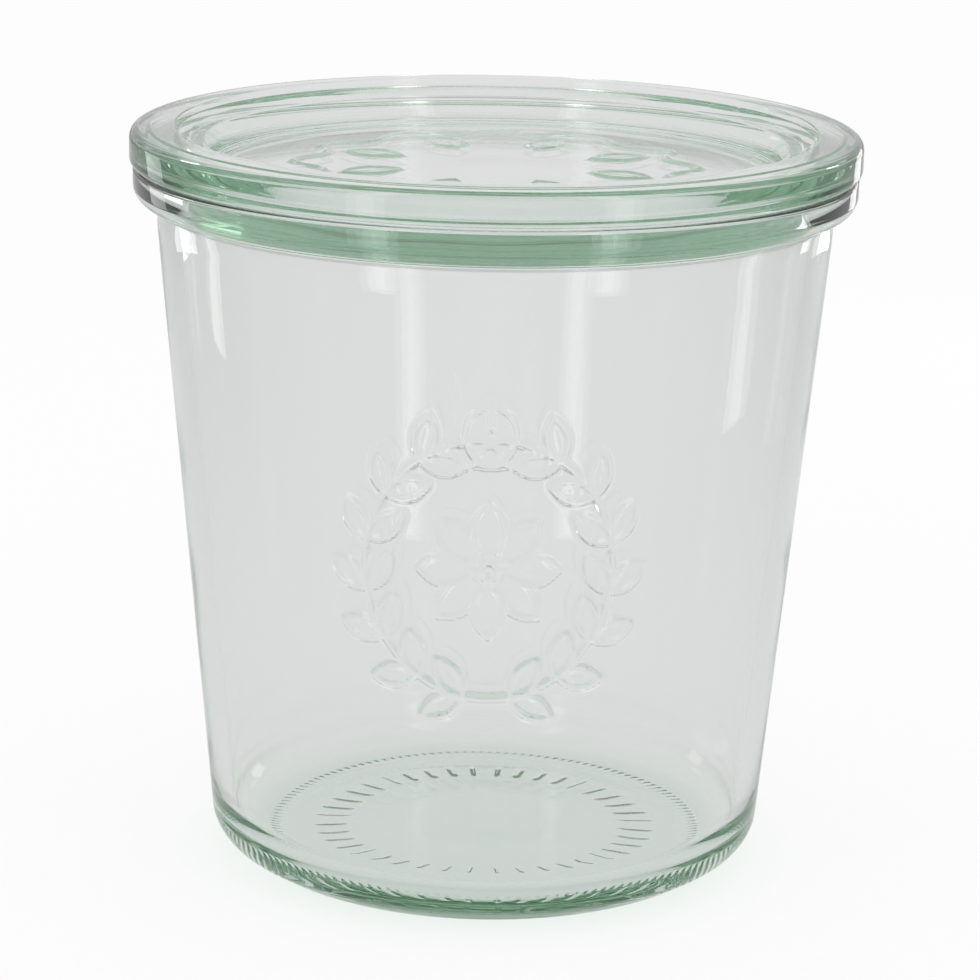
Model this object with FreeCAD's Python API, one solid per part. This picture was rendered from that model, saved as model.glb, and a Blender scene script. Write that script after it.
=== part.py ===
import FreeCAD, Part
import math
import os

# Glass canning jar: a pressed glass jar with a straight tapered wall and a thick flanged
# rim, closed by a loose pressed glass lid that rests on the rim. Both are bodies of
# revolution about +Z. Millimetres, origin in the middle of the standing ring.

# ---- jar, outside ----
JAR_HEIGHT = 106.5          # standing ring to the sealing face of the rim
FOOT_RADIUS = 41.6          # where the line of the wall would meet the table
SHOULDER_RADIUS = 50.4      # wall just below the rim, where the taper stops
NECK_HEIGHT = 9.0           # from there up to the sealing face
HEEL_TURN = 6.0             # the heel leaves the table this far inside the line of the wall
HEEL_RISE = 3.9             # and meets that line at this height
HEEL_LOWER_ROUNDING = 6.0
HEEL_UPPER_ROUNDING = 5.5
RIM_OVERHANG = 3.6          # the flange that the clips hook under stands out this far
RIM_DEPTH = 5.2
RIM_LOWER_ROUNDING = 2.6
RIM_UPPER_ROUNDING = 0.7
NECK_FILLET = 1.2           # in the corner where the flange leaves the wall

# ---- jar, inside ----
WALL = 3.4                  # wall at the shoulder
MOUTH_ROUNDING = 1.2
BASE = 4.2                  # glass at the middle of the base
INNER_HEEL_ROUNDING = 7.0
FLOOR_SAG = 0.9             # the floor dips by this much round its edge

# ---- jar, underside ----
STANDING_WIDTH = 5.4        # the ring that the jar stands on, inside the heel
PUSH_UP = 0.7               # rise of the base over the table
PUSH_UP_SLOPE = 18.0        # width of the ramp up to it
PUSH_UP_ROUNDING = 60.0

# ---- lid ----
LID_OVERHANG = 0.5          # the lid is this much larger than the rim, on the radius
LID_FLANGE = 5.5            # from the sealing face to the top of the outer edge
LID_LOWER_ROUNDING = 1.2
LID_UPPER_ROUNDING = 1.5
CROWN_SETBACK = 2.7         # from the edge of the lid in to the raised stacking ring
CROWN_RISE = 0.25           # its crown stands this much over the edge
CROWN_WIDTH = 3.9
STEP_DROP = 0.9             # steep inner side of the crown
STEP_WIDTH = 0.7
BEVEL_WIDTH = 1.6           # gentler slope from there down to the shelf
SHELF_DROP = 1.5            # from the crown down to the shelf
SHELF_WIDTH = 2.2           # sloping shelf on which a jar above stands
SHELF_SLOPE = 0.6
DISH_DEPTH = 5.8            # from the crown down to the disc
DISH_TAPER = 1.3
DISH_FILLET = 1.0
DISC = 3.8                  # glass of the disc in the middle

# ---- fits ----
MOUTH_CLEARANCE = 0.7       # between the mouth and the collar of the lid, on the radius
COLLAR_DROP = 0.55          # how far the collar reaches below the disc
COLLAR_WIDTH = 3.0
COLLAR_ROUNDING = 1.0
COLLAR_FILLET = 0.4


def rounded_outline(corners):
    """Closed face in the XZ plane from (radius, height, rounding) corners.

    Where two roundings together are longer than the run between them, they share it.
    """
    count = len(corners)
    points = [FreeCAD.Vector(radius, 0, height) for radius, height, rounding in corners]
    halves = []
    reaches = []
    for i in range(count):
        back = points[i - 1] - points[i]
        onward = points[(i + 1) % count] - points[i]
        halves.append(back.getAngle(onward) / 2)
        reaches.append(corners[i][2] / math.tan(halves[i]))
    shares = [1.0] * count
    for i in range(count):
        j = (i + 1) % count
        run = (points[j] - points[i]).Length
        wanted = reaches[i] + reaches[j]
        if wanted > run:
            shares[i] = min(shares[i], run / wanted)
            shares[j] = min(shares[j], run / wanted)
    edges = []
    for i in range(count):
        j = (i + 1) % count
        back = (points[i - 1] - points[i]).normalize()
        onward = (points[j] - points[i]).normalize()
        reach = reaches[i] * shares[i]
        if reach > 0:
            radius = reach * math.tan(halves[i])
            bisector = (back + onward).normalize()
            middle = points[i] + bisector * (radius / math.sin(halves[i]) - radius)
            edges.append(Part.Arc(points[i] + back * reach, middle, points[i] + onward * reach).toShape())
        start = points[i] + onward * reach
        end = points[j] - onward * reaches[j] * shares[j]
        if start.distanceToPoint(end) > 1e-6:
            edges.append(Part.LineSegment(start, end).toShape())
    return Part.Face(Part.Wire(edges))


def turned(corners):
    """Solid of revolution about Z."""
    face = rounded_outline(corners)
    solid = face.revolve(FreeCAD.Vector(0, 0, 0), FreeCAD.Vector(0, 0, 1), 360)
    return solid.Solids[0] if solid.Solids else Part.Solid(solid)


# The jar. The inside follows the taper of the outside at the same wall all the way down.
shoulder_height = JAR_HEIGHT - NECK_HEIGHT
taper = (SHOULDER_RADIUS - FOOT_RADIUS) / shoulder_height
rim_radius = SHOULDER_RADIUS + RIM_OVERHANG
rim_underside = JAR_HEIGHT - RIM_DEPTH
mouth_radius = SHOULDER_RADIUS - WALL
standing_outer_radius = FOOT_RADIUS - HEEL_TURN
standing_inner_radius = standing_outer_radius - STANDING_WIDTH
floor_height = PUSH_UP + BASE
floor_edge_height = floor_height - FLOOR_SAG
inner_foot_radius = mouth_radius - taper * (shoulder_height - floor_edge_height)

jar = turned([
    (0, PUSH_UP, 0),
    (standing_inner_radius - PUSH_UP_SLOPE, PUSH_UP, PUSH_UP_ROUNDING),
    (standing_inner_radius, 0, PUSH_UP_ROUNDING),
    (standing_outer_radius, 0, HEEL_LOWER_ROUNDING),
    (FOOT_RADIUS + taper * HEEL_RISE, HEEL_RISE, HEEL_UPPER_ROUNDING),
    (SHOULDER_RADIUS, shoulder_height, 0),
    (SHOULDER_RADIUS, rim_underside, NECK_FILLET),
    (rim_radius, rim_underside, RIM_LOWER_ROUNDING),
    (rim_radius, JAR_HEIGHT, RIM_UPPER_ROUNDING),
    (mouth_radius, JAR_HEIGHT, MOUTH_ROUNDING),
    (mouth_radius, shoulder_height, 0),
    (inner_foot_radius, floor_edge_height, INNER_HEEL_ROUNDING),
    (0, floor_height, 0),
])

# The lid. Its flange lies on the sealing face; the collar under it drops into the mouth
# and centres it; the dished middle takes the foot of the next jar in a stack.
lid_radius = rim_radius + LID_OVERHANG
crown_outer_radius = lid_radius - CROWN_SETBACK
crown_inner_radius = crown_outer_radius - CROWN_WIDTH
bevel_radius = crown_inner_radius - STEP_WIDTH
shelf_radius = bevel_radius - BEVEL_WIDTH
dish_radius = shelf_radius - SHELF_WIDTH
lid_edge = JAR_HEIGHT + LID_FLANGE
crown = lid_edge + CROWN_RISE
shelf = crown - SHELF_DROP
disc_top = crown - DISH_DEPTH
disc_underside = disc_top - DISC
collar_radius = mouth_radius - MOUTH_CLEARANCE
collar_foot = disc_underside - COLLAR_DROP

lid = turned([
    (0, disc_underside, 0),
    (collar_radius - COLLAR_WIDTH, disc_underside, COLLAR_FILLET),
    (collar_radius - COLLAR_WIDTH, collar_foot, 0),
    (collar_radius, collar_foot, COLLAR_ROUNDING),
    (collar_radius, JAR_HEIGHT, 0),
    (lid_radius, JAR_HEIGHT, LID_LOWER_ROUNDING),
    (lid_radius, lid_edge, LID_UPPER_ROUNDING),
    (crown_outer_radius, lid_edge, 0),
    (crown_outer_radius - CROWN_RISE, crown, 0),
    (crown_inner_radius, crown, 0),
    (bevel_radius, crown - STEP_DROP, 0),
    (shelf_radius, shelf, 0),
    (dish_radius, shelf - SHELF_SLOPE, 0),
    (dish_radius - DISH_TAPER, disc_top, DISH_FILLET),
    (0, disc_top, 0),
])

os.makedirs("parts", exist_ok=True)
jar.exportStep("parts/jar.step")
lid.exportStep("parts/lid.step")
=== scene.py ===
import math

import bmesh
import bpy
from mathutils import Matrix, Vector, noise


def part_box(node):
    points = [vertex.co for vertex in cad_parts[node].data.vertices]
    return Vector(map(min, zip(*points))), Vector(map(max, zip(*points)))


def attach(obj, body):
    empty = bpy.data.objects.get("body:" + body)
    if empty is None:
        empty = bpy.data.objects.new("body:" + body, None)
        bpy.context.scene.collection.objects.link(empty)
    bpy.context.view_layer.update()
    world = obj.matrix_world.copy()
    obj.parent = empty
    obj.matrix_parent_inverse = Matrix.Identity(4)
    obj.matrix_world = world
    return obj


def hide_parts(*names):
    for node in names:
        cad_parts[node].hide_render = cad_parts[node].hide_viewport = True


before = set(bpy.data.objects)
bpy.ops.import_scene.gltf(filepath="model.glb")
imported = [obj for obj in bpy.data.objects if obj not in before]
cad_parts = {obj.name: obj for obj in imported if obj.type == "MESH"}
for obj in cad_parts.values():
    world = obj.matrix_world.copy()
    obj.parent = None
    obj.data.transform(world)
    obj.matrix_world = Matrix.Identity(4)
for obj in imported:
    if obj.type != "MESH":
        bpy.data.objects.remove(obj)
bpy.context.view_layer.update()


# ---- The jar ----
# One gob of soda-lime glass pressed and blown in an iron mould: a straight tapered wall
# under a thick flanged rim, on a heel with a knurled standing ring. The front of the wall
# carries a raised wreath, and the glass is faintly green where it is thick.

jar_bottom, jar_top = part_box("jar")
jar_height = jar_top.z
rim_radius = jar_top.x
rim_depth = 0.0052
foot_radius = 0.0416
heel_turn = 0.006
heel_rise = 0.0039
shoulder_radius = 0.0504
shoulder_height = 0.0975
wall = 0.0034
mouth_radius = shoulder_radius - wall
taper = (shoulder_radius - foot_radius) / shoulder_height
push_up = 0.0007
push_up_radius = 0.0122
standing_inner_radius = 0.0302
floor_middle = push_up + 0.0042
floor_edge = floor_middle - 0.0009
turns = 216


def outer_wall(height):
    """Radius of the outside of the tapered wall."""
    return foot_radius + taper * height


def inner_wall(height):
    """Radius of the inside of the tapered wall."""
    return mouth_radius - taper * (shoulder_height - height)


def from_axis(point):
    """Distance of a point from the axis of the jar."""
    return math.hypot(point.x, point.y)


def turned_profile(corners, grid):
    """A ring of glass: the outline's corners rounded, its runs cut to the grid, and spun about Z."""
    glass = bmesh.new()
    points = [glass.verts.new((radius, 0, height)) for radius, height, rounding in corners]
    for near, far in zip(points, points[1:]):
        glass.edges.new((near, far))
    for i in range(1, len(corners) - 1):
        rounding = corners[i][2]
        if rounding == 0:
            continue
        here = Vector((corners[i][0], 0, corners[i][1]))
        back = Vector((corners[i - 1][0], 0, corners[i - 1][1])) - here
        on = Vector((corners[i + 1][0], 0, corners[i + 1][1])) - here
        bend = back.angle(on)
        reach = rounding / math.tan(bend / 2)
        steps = max(4, round((math.pi - bend) / math.radians(9)))
        bmesh.ops.bevel(glass, geom=[points[i]], offset=reach, offset_type='OFFSET', segments=steps,
                        profile=0.5, affect='VERTICES', material=-1)
    for edge in list(glass.edges):
        cuts = round(edge.calc_length() / grid) - 1
        if cuts > 0:
            bmesh.ops.subdivide_edges(glass, edges=[edge], cuts=cuts)
    bmesh.ops.spin(glass, geom=glass.verts[:] + glass.edges[:], cent=(0, 0, 0), axis=(0, 0, 1),
                   angle=math.tau, steps=turns, use_merge=True)
    bmesh.ops.remove_doubles(glass, verts=glass.verts[:], dist=1e-6)
    bmesh.ops.recalc_face_normals(glass, faces=glass.faces[:])
    return glass


jar_glass = turned_profile([
    (0, push_up, 0),
    (push_up_radius, push_up, 0.06),
    (standing_inner_radius, 0, 0.06),
    (foot_radius - heel_turn, 0, 0.006),
    (outer_wall(heel_rise), heel_rise, 0.0055),
    (shoulder_radius, shoulder_height, 0.02),
    (shoulder_radius, jar_height - rim_depth, 0.0012),
    (rim_radius, jar_height - rim_depth, 0.0026),
    (rim_radius, jar_height, 0.0007),
    (mouth_radius, jar_height, 0.0012),
    (mouth_radius, shoulder_height, 0.02),
    (inner_wall(floor_edge), floor_edge, 0.007),
    (0, floor_middle, 0),
], 0.0024)


def refined(glass, chosen, cuts):
    """Cuts the chosen faces finer, so that relief can be raised on them."""
    edges = list(dict.fromkeys(edge for face in chosen for edge in face.edges))
    bmesh.ops.subdivide_edges(glass, edges=edges, cuts=cuts, use_grid_fill=True)


def ridge(distance, width):
    """Rounded cross-section of a raised line: 1 on the line, 0 beyond its width."""
    return math.exp(-(distance / (0.5 * width)) ** 2)


def leaf(u, v, at, turn, length, width):
    """Raised outline and soft fill of a pointed leaf that starts at a point and runs along a direction."""
    du, dv = u - at[0], v - at[1]
    along = (du * math.cos(turn) + dv * math.sin(turn)) / length
    across = -du * math.sin(turn) + dv * math.cos(turn)
    if not -0.15 < along < 1.15:
        return 0
    half = width / 2 * max(0.0, math.sin(math.pi * min(max(along, 0), 1))) ** 0.8
    edge = abs(across) - half
    if along < 0 or along > 1:
        edge = math.hypot(edge, (along if along < 0 else along - 1) * length)
    fill = 0.35 if edge < 0 else 0
    vein = 0.5 * ridge(across, 0.0005) if 0.1 < along < 0.8 else 0
    return max(ridge(edge, 0.0009), fill, vein)


# The wreath stands 0.6 mm proud: leaves in pairs on an oval stem, round a plain rosette.
wreath_height = 0.0568
wreath_half_width = 0.0178
wreath_half_height = 0.0194
wreath_relief = 0.0006
stem_width = 0.0009
leaf_pairs = 16
leaf_length = 0.0066
leaf_width = 0.0030
leaf_lean = 0.75
leaf_reach = 0.0085
petals = 8
petal_start = 0.0022
petal_length = 0.0078
petal_width = 0.0044
rosette_eye = 0.0013
rosette_reach = 0.0115
front_half_height = 0.0285
front_half_turn = 0.57


def wreath(u, v):
    """Relief from 0 to 1 at a place u across and v up from the middle of the wreath."""
    stem = math.hypot(u / wreath_half_width, v / wreath_half_height)
    tall = ridge((stem - 1) * wreath_half_width, stem_width)
    for i in range(leaf_pairs):
        angle = math.tau * (i + 0.5) / leaf_pairs
        at = (wreath_half_width * math.cos(angle), wreath_half_height * math.sin(angle))
        run = math.atan2(wreath_half_height * math.cos(angle), -wreath_half_width * math.sin(angle))
        if math.cos(angle) < 0:
            run += math.pi
        if math.hypot(u - at[0], v - at[1]) < leaf_reach:
            for lean in (leaf_lean, -leaf_lean):
                tall = max(tall, leaf(u, v, at, run + lean, leaf_length, leaf_width))
    out = math.hypot(u, v)
    if out < rosette_reach:
        for i in range(petals):
            way = math.tau * i / petals
            start = (petal_start * math.cos(way), petal_start * math.sin(way))
            tall = max(tall, leaf(u, v, start, way, petal_length, petal_width))
        tall = max(tall, ridge(out - rosette_eye, stem_width))
    return tall


front = []
for face in jar_glass.faces:
    middle = face.calc_center_median()
    outside = from_axis(middle) > inner_wall(middle.z) + wall / 2
    turn = math.atan2(middle.x, -middle.y)
    if outside and abs(middle.z - wreath_height) < front_half_height and abs(turn) < front_half_turn:
        front.append(face)
refined(jar_glass, front, 4)
for point in jar_glass.verts:
    out = from_axis(point.co)
    surface = outer_wall(point.co.z)
    turn = math.atan2(point.co.x, -point.co.y)
    up = point.co.z - wreath_height
    near = abs(up) < front_half_height + 0.0025 and abs(turn) < front_half_turn + 0.03
    if near and abs(out - surface) < wall / 2:
        raised = surface + wreath_relief * wreath(turn * surface, up)
        point.co.x *= raised / out
        point.co.y *= raised / out

# Under the base: fine knurls round the standing ring, and a ring of plain bars.
knurl_radius = 0.0332
knurls = 144
knurl_depth = 0.00014
bar_radius = 0.0237
bars = 40
bar_relief = 0.00018


def under_base(glass, top, inner, outer):
    """Faces of the underside between two radii."""
    return [face for face in glass.faces
            if face.calc_center_median().z < top and inner < from_axis(face.calc_center_median()) < outer]


refined(jar_glass, under_base(jar_glass, 0.0006, 0.0310, 0.0352), 3)
refined(jar_glass, under_base(jar_glass, 0.001, 0.0206, 0.0268), 3)
for point in jar_glass.verts:
    out = from_axis(point.co)
    turn = math.atan2(point.co.y, point.co.x)
    if point.co.z < 0.0008 and 0.0310 < out < 0.0355:
        between = 0.5 - 0.5 * math.cos(turn * knurls)
        point.co.z += knurl_depth * between * ridge(out - knurl_radius, 0.0014)
    if point.co.z < 0.001 and 0.0200 < out < 0.0272:
        place = (turn / math.tau * bars) % 1 - 0.5
        bar = ridge(place * math.tau * out / bars, 0.0010) if round(turn / math.tau * bars) % 5 else 0
        end = max(0, abs(out - bar_radius) - 0.0016)
        point.co.z -= bar_relief * bar * ridge(end, 0.0008)

# Pressed glass is never quite even: the inside is wavy by up to a tenth of a millimetre.
waviness = 0.0001
for point in jar_glass.verts:
    out = from_axis(point.co)
    if 1e-5 < out < inner_wall(point.co.z) + 0.0006 and floor_edge < point.co.z <= shoulder_height:
        wave = noise.noise(Vector((point.co.x * 45, point.co.y * 45, point.co.z * 22)))
        fade = min(1, (shoulder_height - point.co.z) / 0.01)
        point.co += waviness * wave * fade * point.normal


def finished(glass, name):
    """Puts the shaped glass into the scene as one smooth piece."""
    mesh = bpy.data.meshes.new(name)
    glass.to_mesh(mesh)
    glass.free()
    mesh.shade_smooth()
    piece = bpy.data.objects.new(name, mesh)
    bpy.context.collection.objects.link(piece)
    return piece


def pressed_glass(name, tint):
    """Clear soda-lime glass, faintly green in its depth, with the soft ripple of a mould on its skin."""
    glass = bpy.data.materials.new(name)
    glass.use_nodes = True
    nodes, links = glass.node_tree.nodes, glass.node_tree.links
    skin = nodes["Principled BSDF"]
    skin.inputs["Base Color"].default_value = (1, 1, 1, 1)
    skin.inputs["Transmission Weight"].default_value = 1
    skin.inputs["IOR"].default_value = 1.52
    skin.inputs["Roughness"].default_value = 0
    place = nodes.new("ShaderNodeTexCoord")
    ripple = nodes.new("ShaderNodeTexNoise")
    ripple.inputs["Scale"].default_value = 70
    ripple.inputs["Detail"].default_value = 0
    links.new(place.outputs["Object"], ripple.inputs["Vector"])
    bump = nodes.new("ShaderNodeBump")
    bump.inputs["Strength"].default_value = 0.5
    bump.inputs["Distance"].default_value = 0.0001
    links.new(ripple.outputs["Fac"], bump.inputs["Height"])
    links.new(bump.outputs["Normal"], skin.inputs["Normal"])
    depth = nodes.new("ShaderNodeVolumeAbsorption")
    depth.inputs["Color"].default_value = (0.40, 0.66, 0.48, 1)
    depth.inputs["Density"].default_value = tint
    links.new(depth.outputs["Volume"], nodes["Material Output"].inputs["Volume"])
    return glass


jar = finished(jar_glass, "jar_glass_body")
jar.data.materials.append(pressed_glass("jar_pressed_glass", 28))
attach(jar, "root")
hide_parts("jar")


# ---- The lid ----
# A loose disc of the same glass, pressed in one piece: a rounded flange that lies on the
# rim, a collar that drops into the mouth, and a stepped ring round a dished middle.

lid_bottom, lid_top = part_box("lid")
lid_radius = lid_top.x
crown = lid_top.z
lid_edge = crown - 0.00025
seat = jar_height + 0.00006
collar_foot = lid_bottom.z
collar_radius = mouth_radius - 0.0007
collar_inner_radius = collar_radius - 0.003
crown_outer_radius = lid_radius - 0.0027
crown_inner_radius = crown_outer_radius - 0.0039
bevel_radius = crown_inner_radius - 0.0007
shelf_radius = bevel_radius - 0.0016
dish_radius = shelf_radius - 0.0022
disc_top = crown - 0.0058
disc_underside = disc_top - 0.0038

lid_glass = turned_profile([
    (0, disc_underside, 0),
    (collar_inner_radius, disc_underside, 0.0004),
    (collar_inner_radius, collar_foot, 0.0003),
    (collar_radius, collar_foot, 0.001),
    (collar_radius, seat, 0.0003),
    (lid_radius, seat, 0.0012),
    (lid_radius, lid_edge, 0.0015),
    (crown_outer_radius, lid_edge, 0.0004),
    (crown_outer_radius - 0.00025, crown, 0.0004),
    (crown_inner_radius, crown, 0.0004),
    (bevel_radius, crown - 0.0009, 0.0004),
    (shelf_radius, crown - 0.0015, 0.0005),
    (dish_radius, crown - 0.0021, 0.0005),
    (dish_radius - 0.0013, disc_top, 0.001),
    (0, disc_top, 0),
], 0.0014)

# On the disc: a scalloped line round eight leaves, raised by less than half a millimetre.
disc_relief = 0.0004
scallops = 12
scallop_radius = 0.0283
scallop_depth = 0.0018
disc_leaves = 8
leaf_start = 0.0155


def on_disc(point):
    """Whether a point lies on the patterned ring of the disc."""
    return abs(point.z - disc_top) < 0.0001 and 0.0135 < from_axis(point) < 0.0315


refined(lid_glass, [face for face in lid_glass.faces if on_disc(face.calc_center_median())], 3)
for point in lid_glass.verts:
    if on_disc(point.co):
        out = from_axis(point.co)
        turn = math.atan2(point.co.y, point.co.x)
        lean = scallops * scallop_depth * math.sin(scallops * turn) / out
        line = (out - scallop_radius - scallop_depth * math.cos(scallops * turn)) / math.hypot(1, lean)
        tall = ridge(line, 0.0010)
        for i in range(disc_leaves):
            way = math.tau * (i + 0.5) / disc_leaves
            start = (leaf_start * math.cos(way), leaf_start * math.sin(way))
            if out < 0.0262 and math.cos(turn - way) > 0.85:
                tall = max(tall, leaf(point.co.x, point.co.y, start, way, 0.0088, 0.0050))
        point.co.z += disc_relief * tall

lid = finished(lid_glass, "lid_glass_body")
lid.data.materials.append(pressed_glass("lid_pressed_glass", 20))
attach(lid, "root")
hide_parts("lid")


# ---- The studio ----
# A pale floor that runs out of sight, an even white surround, and tall soft boxes at
# both sides that draw the upright highlights on the glass.

floor_shape = bmesh.new()
bmesh.ops.create_circle(floor_shape, cap_ends=True, segments=64, radius=6,
                        matrix=Matrix.Translation((0, 0, -0.00005)))
floor_mesh = bpy.data.meshes.new("floor")
floor_shape.to_mesh(floor_mesh)
floor_shape.free()
studio_floor = bpy.data.objects.new("floor", floor_mesh)
bpy.context.collection.objects.link(studio_floor)


def math_node(nodes, links, operation, first, second):
    """Result of a Math node on two sockets."""
    node = nodes.new("ShaderNodeMath")
    node.operation = operation
    links.new(first, node.inputs[0])
    links.new(second, node.inputs[1])
    return node.outputs[0]


def ranged(nodes, links, value, near, far, start, end):
    """Result of a Map Range node that goes from start to end as the value goes from near to far."""
    node = nodes.new("ShaderNodeMapRange")
    node.inputs["From Min"].default_value = near
    node.inputs["From Max"].default_value = far
    node.inputs["To Min"].default_value = start
    node.inputs["To Max"].default_value = end
    links.new(value, node.inputs["Value"])
    return node.outputs["Result"]


def backdrop_light(nodes, links):
    """What sees the paper and the surround, and their shade: white to the eye, pale grey in the glass."""
    path = nodes.new("ShaderNodeLightPath")
    by_eye = path.outputs["Is Camera Ray"]
    mirrored = math_node(nodes, links, 'MAXIMUM', by_eye, path.outputs["Is Glossy Ray"])
    seen = math_node(nodes, links, 'MAXIMUM', mirrored, path.outputs["Is Transmission Ray"])
    shade = nodes.new("ShaderNodeMix")
    shade.data_type = 'RGBA'
    shade.inputs["A"].default_value = (0.785, 0.76, 0.78, 1)
    shade.inputs["B"].default_value = (1, 1, 1, 1)
    links.new(by_eye, shade.inputs["Factor"])
    return by_eye, seen, shade.outputs["Result"]


paper = bpy.data.materials.new("floor_paper")
paper.use_nodes = True
nodes, links = paper.node_tree.nodes, paper.node_tree.links
by_eye, seen, shade = backdrop_light(nodes, links)
place = nodes.new("ShaderNodeTexCoord").outputs["Object"]

# In the glass, the paper is a little darker to the sides and far behind the jar.
sides = nodes.new("ShaderNodeSeparateXYZ")
links.new(place, sides.inputs[0])
aside = nodes.new("ShaderNodeMath")
aside.operation = 'ABSOLUTE'
links.new(sides.outputs["X"], aside.inputs[0])
to_the_sides = ranged(nodes, links, aside.outputs[0], 0.07, 0.28, 1, 0.8)
to_the_back = ranged(nodes, links, sides.outputs["Y"], 0.50, 1.60, 1, 0.55)
falloff = math_node(nodes, links, 'MULTIPLY', to_the_sides, to_the_back)

# Painted light: under the jar the paper is given a faint green, a painted pool of the green light that
# comes through the base.
from_jar = nodes.new("ShaderNodeVectorMath")
from_jar.operation = 'LENGTH'
links.new(place, from_jar.inputs[0])
# Painted pool of green light on the paper under the jar.
painted_green_light = nodes.new("ShaderNodeMix")
painted_green_light.data_type = 'RGBA'
painted_green_light.blend_type = 'MULTIPLY'
painted_green_light.inputs["B"].default_value = (0.94, 1, 0.96, 1)
links.new(ranged(nodes, links, from_jar.outputs["Value"], 0.052, 0.036, 0, 1), painted_green_light.inputs["Factor"])
links.new(shade, painted_green_light.inputs["A"])

glow = nodes.new("ShaderNodeEmission")
links.new(math_node(nodes, links, 'MAXIMUM', falloff, by_eye), glow.inputs["Strength"])
links.new(painted_green_light.outputs["Result"], glow.inputs["Color"])
paper_skin = nodes["Principled BSDF"]
paper_skin.inputs["Base Color"].default_value = (0.9, 0.9, 0.9, 1)
paper_skin.inputs["Roughness"].default_value = 1
paper_skin.inputs["Specular IOR Level"].default_value = 0
share = nodes.new("ShaderNodeMath")
share.operation = 'MULTIPLY'
share.inputs[1].default_value = 0.85
links.new(seen, share.inputs[0])
blend = nodes.new("ShaderNodeMixShader")
links.new(share.outputs[0], blend.inputs[0])
links.new(paper_skin.outputs[0], blend.inputs[1])
links.new(glow.outputs[0], blend.inputs[2])
links.new(blend.outputs[0], nodes["Material Output"].inputs["Surface"])
floor_mesh.materials.append(paper)

surround = bpy.data.worlds.new("surround")
surround.use_nodes = True
bpy.context.scene.world = surround
nodes, links = surround.node_tree.nodes, surround.node_tree.links
by_eye, seen, shade = backdrop_light(nodes, links)
direction = nodes.new("ShaderNodeTexCoord")
height = nodes.new("ShaderNodeSeparateXYZ")
links.new(direction.outputs["Generated"], height.inputs[0])
overhead = ranged(nodes, links, height.outputs["Z"], 0, 0.5, 1, 1.05)
lit = nodes.new("ShaderNodeMix")
lit.inputs["A"].default_value = 1.3
links.new(seen, lit.inputs["Factor"])
links.new(math_node(nodes, links, 'MAXIMUM', overhead, by_eye), lit.inputs["B"])
links.new(lit.outputs["Result"], nodes["Background"].inputs["Strength"])
links.new(shade, nodes["Background"].inputs["Color"])


def soft_box(name, azimuth, distance, wide, low, high, glow):
    """An upright soft box that faces the jar; azimuth 0 is in front, and it grows to the right."""
    lamp = bpy.data.lights.new(name, 'AREA')
    lamp.shape = 'RECTANGLE'
    lamp.size = wide
    lamp.size_y = high - low
    lamp.energy = glow * math.pi * wide * (high - low)
    box = bpy.data.objects.new(name, lamp)
    turn = math.radians(azimuth)
    box.location = (distance * math.sin(turn), -distance * math.cos(turn), (low + high) / 2)
    box.rotation_euler = (math.pi / 2, 0, turn)
    box.visible_camera = False
    bpy.context.collection.objects.link(box)


for side, azimuth in (("left", -36), ("right", 36)):
    soft_box(side + "_front_box", azimuth, 0.30, 0.060, 0.004, 0.50, 0.8)
    soft_box(side + "_front_box_core", azimuth, 0.299, 0.028, 0.004, 0.50, 0.8)
soft_box("right_back_box", 148, 0.44, 0.08, 0.004, 0.134, 1.6)
soft_box("left_back_box", -125, 0.38, 0.08, 0.004, 0.134, 1.4)

camera_data = bpy.data.cameras.new("camera")
camera_data.lens = 136.46
camera_data.sensor_width = 36
camera_data.clip_start = 0.01
camera = bpy.data.objects.new("camera", camera_data)
camera.matrix_world = (Matrix.Translation((0, -0.548, 0.2012))
                       @ Matrix.Rotation(math.pi / 2 - 0.2586, 4, 'X')
                       @ Matrix.Rotation(0.0190, 4, 'Z'))
bpy.context.collection.objects.link(camera)
bpy.context.scene.camera = camera

view = bpy.context.scene
view.view_settings.view_transform = 'Standard'
view.cycles.max_bounces = 96
view.cycles.transmission_bounces = 96
view.cycles.glossy_bounces = 96
